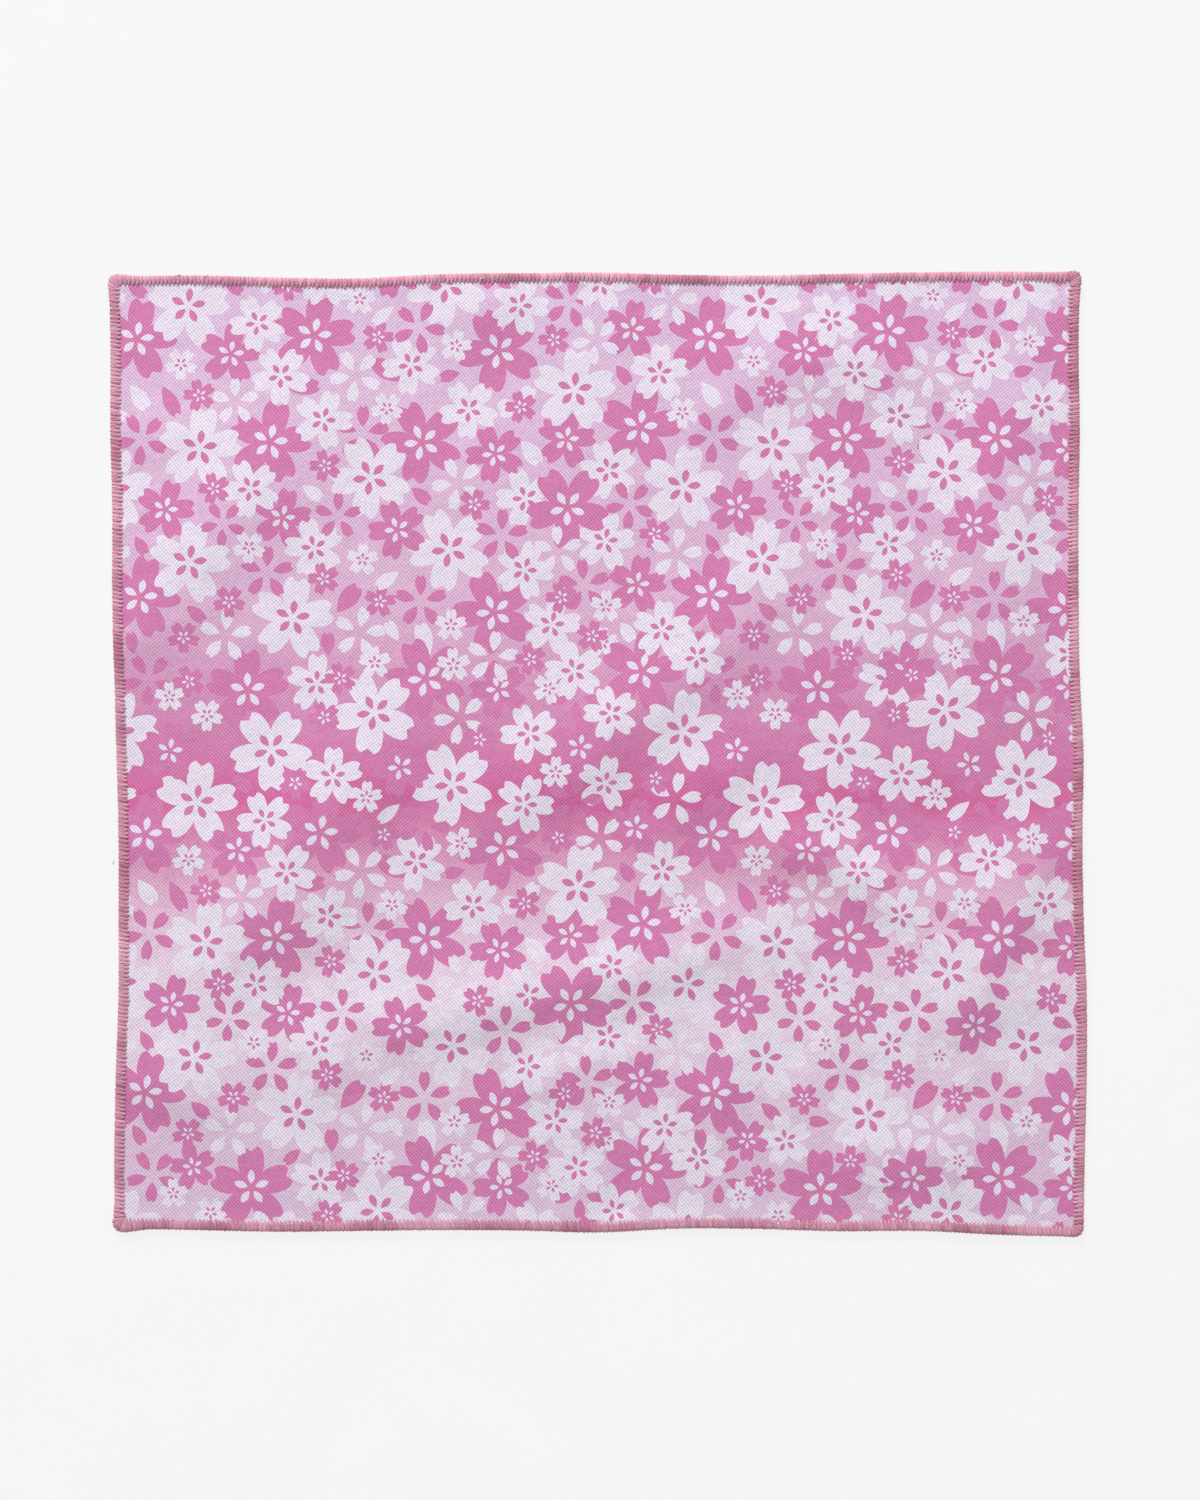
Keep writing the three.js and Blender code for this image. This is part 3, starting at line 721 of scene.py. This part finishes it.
# The locking loop of each stitch: along, inset, height.
LOOP_PATH = [
    (-0.36, 2.45, 1.85),
    (-0.14, 2.3, 2.1),
    (0.12, 2.05, 2.15),
    (0.36, 1.75, 2.11),
]
THREADS = (-0.345, 0.0, 0.345)
# How much further in than the path the needle went, by side.
NEEDLE_IN = {"top": -0.3, "bottom": 0.05, "left": -0.1, "right": 0.0}
THREAD_RADIUS = 0.2
LOOP_RADIUS = 0.09
SLANT = 0.3
SCALLOP = 0.12

# How far the thread stands out past the outline: distance along its run from the run's start,
# and out. A distance below zero counts back from the end.
STANDS_OUT = {
    "top": [
        (0, 0.3), (2.4, 1.1), (4.7, 0.5), (9, 0), (-9, 0), (-4.7, 0.2), (-2.4, 1.25), (-0.01, 0.4),
    ],
    "bottom": [
        (0, 0.4), (2.4, 1.4), (4.7, 1.0), (11, 0), (-8, 0), (-4.7, 0.1), (-2.4, 0.4), (-0.01, 0),
    ],
    "left": [(0, 0.4), (4, 0), (-5, 0), (-0.01, 0.3)],
    "right": [(0, 0), (4, 0), (-6, 0), (-0.01, 0.4)],
}


def side_length(side):
    """Length of one run of thread. The top and bottom runs take in the corners."""
    if side in ("top", "bottom"):
        return CLOTH_WIDE - 2 * TURN + 2 * QUARTER
    return CLOTH_TALL - 2 * TURN


def wrap_point(side, along, inset, z):
    """Points in space at places along one run, in from its outline, at a height."""
    along, inset, z = np.broadcast_arrays(along, inset, z)
    length = side_length(side)
    marks = [(at if at >= 0 else length + at, out) for at, out in STANDS_OUT[side]]
    out = np.interp(along, [m[0] for m in marks], [m[1] for m in marks])
    inset = inset - out * (1 - inset / TURN)
    if side in ("top", "bottom"):
        run = np.clip(along - QUARTER, 0, CLOTH_WIDE - 2 * TURN)
        before = np.maximum(QUARTER - along, 0) / TURN
        after = np.maximum(along - length + QUARTER, 0) / TURN
        reach = TURN - inset
        in_x = TURN + run + reach * (np.sin(after) - np.sin(before))
        in_y = TURN - reach * np.cos(before + after)
        if side == "top":
            in_y = CLOTH_TALL - in_y
    else:
        in_y = TURN + along
        in_x = CLOTH_WIDE - inset if side == "right" else inset
    x, y = plan_at(in_x, in_y)
    return np.stack([x, y, z + lift_at(in_x, in_y)], axis=-1)


def smoothed(values, width):
    """Values averaged over their neighbours, and spread to a deviation of one."""
    near = np.arange(-12, 13)
    weights = np.exp(-((near / width) ** 2))
    out = np.convolve(values, weights, "same")
    return (out - out.mean()) / out.std()


def make_overlock(side):
    """The thread wrapped along one side: a plain core and every stitch over it."""
    length = side_length(side)
    path = np.array(WRAP_PATH)
    count = round(length / STITCH)
    stitches = (np.arange(count) + 0.5) * length / count + rng.normal(0, 0.06, count)
    guide = wrap_point(side, stitches + 0.1, 0.5, 1.0) - wrap_point(side, stitches - 0.1, 0.5, 1.0)
    guide = (guide / np.linalg.norm(guide, axis=1, keepdims=True))[:, None, :]
    reach = NEEDLE_IN[side] + rng.normal(0, 0.12, (count, 1))
    patch = smoothed(rng.normal(0, 1, count), 4.0) * 0.7 + rng.normal(0, 0.45, count)
    inner = np.clip((path[:, 0] - 1.2) / 0.8, 0, 1) * (path[:, 1] > 1)
    # Painted shade: the top of each thread is darkened where it dips in towards the needle row.
    painted_shade = 0.1 * inner
    parts, tones, painted_shades = [], [], []

    def add(along, inset, height, radius, tone, shade_amount):
        spots = wrap_point(side, along, inset, height)
        radii = np.broadcast_to(radius, spots.shape[:2])
        parts.append(tubes(spots, radii, 5, guide))
        tones.append(np.repeat(tone, spots.shape[1] * 5))
        painted_shades.append(np.tile(np.repeat(shade_amount, 5), count))

    for spread in THREADS:
        jog = rng.normal(0, 0.03, (count, 1))
        swell = rng.normal(0, 0.03, (count, 1)) + (SCALLOP if spread == 0 else 0)
        along = stitches[:, None] + (spread + jog) * path[:, 2] + SLANT * (1 - path[:, 0] / TURN)
        inset = path[:, 0] + reach * inner - swell * (1 - path[:, 0] / TURN)
        height = path[:, 1] + 0.5 * swell * (path[:, 1] > 1)
        radius = THREAD_RADIUS * (1 + rng.normal(0, 0.06, (count, 1))) * (1 - 0.15 * inner)
        add(along, inset, height, radius, patch + rng.normal(0, 0.3, count), painted_shade)
    loop = np.array(LOOP_PATH)
    add(
        stitches[:, None] + loop[:, 0],
        loop[:, 1] + reach,
        loop[:, 2],
        LOOP_RADIUS * (1 + rng.normal(0, 0.08, (count, 1))),
        patch + 0.9,
        np.zeros(len(loop)),
    )
    stops = np.linspace(0, length, 260)
    ring = np.stack([wrap_point(side, stops, inset, z) for inset, z in WRAP_CORE], axis=1)
    at = np.arange(ring.shape[0] * ring.shape[1]).reshape(ring.shape[:2])
    beside = np.roll(at, -1, axis=1)
    quads = np.stack([at[:-1], beside[:-1], beside[1:], at[1:]], axis=-1).reshape(-1, 4)
    parts.append((ring.reshape(-1, 3), quads))
    # The core is darker in tone, and painted shade darkens it further, for the shade in the gaps
    # between stitches.
    tones.append(np.full(at.size, -0.6))
    painted_shades.append(np.full(at.size, 0.4))
    wrap = make_mesh("overlock_thread_" + side, *joined(parts))
    float_attribute(wrap, "tone", np.concatenate(tones), "POINT")
    float_attribute(wrap, "painted_shade", np.concatenate(painted_shades), "POINT")
    return wrap


# Materials.


def linear(value):
    value /= 255
    return value / 12.92 if value <= 0.04045 else ((value + 0.055) / 1.055) ** 2.4


def paint(red, green, blue):
    return (linear(red), linear(green), linear(blue), 1.0)


class Shader:
    """A material's nodes, made and wired by name."""

    def __init__(self, name):
        self.material = bpy.data.materials.new(name)
        self.material.use_nodes = True
        self.tree = self.material.node_tree
        self.surface = self.tree.nodes["Principled BSDF"]

    def node(self, kind, settings=None, **inputs):
        made = self.tree.nodes.new(kind)
        for key, value in (settings or {}).items():
            setattr(made, key, value)
        for key, value in inputs.items():
            self.set(made, key, value)
        return made

    def set(self, node, key, value):
        """Sets or wires an input by its name, or by its number as i0, i1."""
        if key[0] == "i" and key[1:].isdigit():
            socket = node.inputs[int(key[1:])]
        else:
            socket = node.inputs[key.replace("_", " ")]
        if isinstance(value, bpy.types.NodeSocket):
            self.tree.links.new(value, socket)
        else:
            socket.default_value = value

    def math(self, operation, first, second=None):
        values = {"i0": first}
        if second is not None:
            values["i1"] = second
        return self.node("ShaderNodeMath", {"operation": operation}, **values).outputs[0]

    def blend(self, first, first_share, second, second_share):
        """The sum of two values, each by its share."""
        return self.math(
            "ADD",
            self.math("MULTIPLY", first, first_share),
            self.math("MULTIPLY", second, second_share),
        )

    def mix(self, share, first, second, blend="MIX"):
        made = self.node("ShaderNodeMix", {"data_type": "RGBA", "blend_type": blend})
        self.set(made, "i0", share)
        self.set(made, "i6", first)
        self.set(made, "i7", second)
        return made.outputs[2]

    def noise(self, scale, detail=2.0, vector=None):
        made = self.node("ShaderNodeTexNoise", Scale=scale, Detail=detail)
        if vector is not None:
            self.set(made, "Vector", vector)
        return made.outputs["Fac"]

    def wave(self, value, length):
        return self.math("SINE", self.math("MULTIPLY", value, 2 * math.pi / length))

    def aslant(self, parts, share_x, share_y):
        """How far along a slanting direction a place is."""
        return self.blend(parts[0], share_x, parts[1], share_y)

    def shaded(self, colour, shade):
        grey = self.node("ShaderNodeCombineColor", i0=shade, i1=shade, i2=shade).outputs[0]
        return self.mix(1.0, colour, grey, "MULTIPLY")

    def by_height(self, level, rows):
        """A colour table as a ramp over height up the cloth."""
        low, high = rows[0][0], rows[-1][0]
        share = self.math("DIVIDE", self.math("SUBTRACT", level, low), high - low)
        ramp = self.node("ShaderNodeValToRGB", i0=share)
        stops = ramp.color_ramp.elements
        while len(stops) < len(rows):
            stops.new(0.5)
        for stop, (y, *colour) in zip(stops, rows):
            stop.position = (y - low) / (high - low)
            stop.color = paint(*colour)
        return ramp.outputs[0]

    def millimetres(self):
        """The place on the piece, in millimetres."""
        spot = self.node("ShaderNodeTexCoord").outputs["Object"]
        scaled = self.node("ShaderNodeVectorMath", {"operation": "SCALE"}, i0=spot, Scale=1 / MM)
        return scaled.outputs[0]


# The dyed ground from the bottom up: Y, red, green, blue. Lavender, nearly white, a deep
# pink band and lavender again.
GROUND = [
    (-124, 225, 200, 225),
    (-104, 225, 195, 220),
    (-64, 235, 220, 235),
    (-42, 230, 195, 220),
    (-12, 215, 110, 165),
    (8, 215, 140, 185),
    (38, 225, 185, 215),
    (124, 225, 195, 225),
]
PINK_INK = (215, 130, 180)
WHITE_INK = (235, 225, 240)
# One diagonal line of the weave to the next.
WEAVE = 0.72
# The lines across them, the share of colour that follows the weave and the cloth's unevenness.
CROSS_SHARE = 0.75
WEAVE_TONE = 0.11
CLOTH_TONE = 0.4
LEAST_TONE = 0.8
# Height of the weave and of the small creases.
WEAVE_RELIEF = 0.02
CREASE_RELIEF = 0.6
# How far the ground's colours stray up and down.
GROUND_STRAY = 10.0


def printed_cloth():
    shader = Shader("printed_gauze")
    spot = shader.millimetres()
    parts = shader.node("ShaderNodeSeparateXYZ", i0=spot).outputs
    waver = shader.noise(0.03, 2.0, spot)
    shift = shader.math("MULTIPLY", shader.math("SUBTRACT", waver, 0.5), GROUND_STRAY)
    level = shader.math("ADD", parts[1], shift)
    ground = shader.by_height(level, GROUND)
    pink = shader.node("ShaderNodeAttribute", {"attribute_name": "pink_ink"}).outputs["Fac"]
    white = shader.node("ShaderNodeAttribute", {"attribute_name": "white_ink"}).outputs["Fac"]
    colour = shader.mix(pink, ground, paint(*PINK_INK))
    colour = shader.mix(white, colour, paint(*WHITE_INK))
    # Diagonal lines of the weave, and fainter ones across them.
    lines = shader.wave(shader.aslant(parts, 0.771, 0.636), WEAVE)
    cross = shader.wave(shader.aslant(parts, 0.636, -0.771), WEAVE)
    weave = shader.math("ADD", lines, shader.math("MULTIPLY", cross, CROSS_SHARE))
    uneven = shader.noise(1.3, 3.0, spot)
    shade = shader.math("ADD", shader.blend(weave, WEAVE_TONE, uneven, CLOTH_TONE), LEAST_TONE)
    colour = shader.shaded(colour, shade)
    shader.set(shader.surface, "Base_Color", colour)
    shader.set(shader.surface, "Roughness", 0.92)
    shader.set(shader.surface, "Specular_IOR_Level", 0.15)
    shader.set(shader.surface, "Sheen_Weight", 0.08)
    crease = shader.noise(0.12, 5.0, spot)
    height = shader.blend(weave, WEAVE_RELIEF, crease, CREASE_RELIEF)
    bump = shader.node("ShaderNodeBump", Height=height, Strength=1.0, Distance=MM)
    shader.set(shader.surface, "Normal", bump.outputs[0])
    return shader.material


def looped_pile():
    shader = Shader("white_pile")
    spot = shader.millimetres()
    loops = shader.node("ShaderNodeTexVoronoi", {"feature": "SMOOTH_F1"}, Vector=spot, Scale=0.9)
    gap = loops.outputs["Distance"]
    curl = shader.noise(3.0, 3.0, spot)
    # Painted shade: the colour darkens towards the gaps between the loops.
    tone = shader.math("SUBTRACT", 1.0, shader.math("MULTIPLY", gap, 0.28))
    colour = shader.shaded(paint(238, 234, 238), tone)
    shader.set(shader.surface, "Base_Color", colour)
    shader.set(shader.surface, "Roughness", 0.95)
    shader.set(shader.surface, "Specular_IOR_Level", 0.1)
    height = shader.blend(curl, 0.25, gap, -0.5)
    bump = shader.node("ShaderNodeBump", Height=height, Strength=1.0, Distance=MM)
    shader.set(shader.surface, "Normal", bump.outputs[0])
    return shader.material


# How much a thread's own tone changes its colour, and how much painted shade darkens it where it
# lies deep in the stitch.
TONE_SHARE = 0.28
TUCK_SHADE = 0.34
FIBRE_RELIEF = 0.1


def thread_colour():
    shader = Shader("overlock_thread")
    spot = shader.millimetres()
    fine = shader.noise(4.0, 4.0, spot)
    tone = shader.node("ShaderNodeAttribute", {"attribute_name": "tone"}).outputs["Fac"]
    painted_shade = shader.node("ShaderNodeAttribute", {"attribute_name": "painted_shade"}).outputs["Fac"]
    share = shader.math("ADD", fine, shader.math("MULTIPLY", tone, TONE_SHARE))
    colour = shader.mix(share, paint(200, 130, 155), paint(240, 185, 205))
    # Painted shade: threads deep in the stitch, and the core, are darkened by their shade share.
    dim = shader.math("SUBTRACT", 1.0, shader.math("MULTIPLY", painted_shade, TUCK_SHADE))
    colour = shader.shaded(colour, dim)
    shader.set(shader.surface, "Base_Color", colour)
    shader.set(shader.surface, "Roughness", 0.6)
    shader.set(shader.surface, "Specular_IOR_Level", 0.2)
    shader.set(shader.surface, "Sheen_Weight", 0.05)
    bump = shader.node("ShaderNodeBump", Height=fine, Strength=0.6, Distance=FIBRE_RELIEF * MM)
    shader.set(shader.surface, "Normal", bump.outputs[0])
    return shader.material


# The set: a pale lit table, a low soft light from the top of the picture, and the sky.

VIEW_CENTRE = (0.52, 0.78)
CAMERA_HIGH = 0.8125
FLOOR_SIZE = 24.0
PAPER = 247
PAPER_GLOW = 0.9
LAMP_PLACE = (-0.55, 1.85, 1.15)
LAMP_SIZE = 0.8
LAMP_WATTS = 46.0
ROOM = 0.47


def make_floor():
    half = FLOOR_SIZE / 2
    mesh = bpy.data.meshes.new("table")
    corners = [(-half, -half, 0), (half, -half, 0), (half, half, 0), (-half, half, 0)]
    mesh.from_pydata(corners, [], [(0, 1, 2, 3)])
    floor = bpy.data.objects.new("table", mesh)
    bpy.context.scene.collection.objects.link(floor)
    shader = Shader("paper")
    grain = shader.noise(900.0, 2.0)
    tone = shader.mix(grain, paint(86, 86, 86), paint(90, 90, 90))
    shader.set(shader.surface, "Base_Color", tone)
    shader.set(shader.surface, "Roughness", 1.0)
    shader.set(shader.surface, "Specular_IOR_Level", 0.0)
    shader.set(shader.surface, "Emission_Color", paint(PAPER, PAPER, PAPER))
    shader.set(shader.surface, "Emission_Strength", PAPER_GLOW)
    mesh.materials.append(shader.material)
    return floor


def make_lights():
    """A large window far off beyond the top left, and an even room."""
    data = bpy.data.lights.new("window", "AREA")
    data.shape = "SQUARE"
    data.size = LAMP_SIZE
    data.energy = LAMP_WATTS
    data.color = (1.0, 0.99, 0.985)
    lamp = bpy.data.objects.new("window", data)
    lamp.location = LAMP_PLACE
    lamp.rotation_mode = "QUATERNION"
    lamp.rotation_quaternion = lamp.location.to_track_quat("Z", "Y")
    bpy.context.scene.collection.objects.link(lamp)
    world = bpy.data.worlds.new("room")
    world.use_nodes = True
    sky = world.node_tree.nodes["Background"]
    sky.inputs["Color"].default_value = (0.985, 0.985, 1.0, 1.0)
    sky.inputs["Strength"].default_value = ROOM
    bpy.context.scene.world = world


def make_camera():
    data = bpy.data.cameras.new("camera")
    data.sensor_fit = "AUTO"
    data.sensor_width = 36
    data.lens = 75
    camera = bpy.data.objects.new("camera", data)
    camera.location = (
        (VIEW_CENTRE[0] + SHIFT[0]) * MM,
        (VIEW_CENTRE[1] + SHIFT[1]) * MM,
        CAMERA_HIGH,
    )
    bpy.context.scene.collection.objects.link(camera)
    bpy.context.scene.camera = camera


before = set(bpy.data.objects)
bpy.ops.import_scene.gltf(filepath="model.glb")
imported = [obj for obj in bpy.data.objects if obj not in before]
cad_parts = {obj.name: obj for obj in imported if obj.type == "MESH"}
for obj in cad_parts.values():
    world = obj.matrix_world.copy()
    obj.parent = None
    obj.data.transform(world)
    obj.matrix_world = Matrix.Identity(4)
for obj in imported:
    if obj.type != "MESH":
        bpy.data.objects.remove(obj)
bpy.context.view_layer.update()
SHIFT = centring()

face = make_face()
back = make_back()
threads = {side: make_overlock(side) for side in ("top", "bottom", "left", "right")}

face.data.materials.append(printed_cloth())
back.data.materials.append(looped_pile())
thread_material = thread_colour()
for piece in (face, back):
    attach(piece, "root")
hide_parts("cloth")
for side, piece in threads.items():
    piece.data.materials.append(thread_material)
    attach(piece, "root")
    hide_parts("overlock_" + side)

floor = make_floor()
make_lights()
make_camera()
bpy.context.scene.view_settings.view_transform = "Standard"
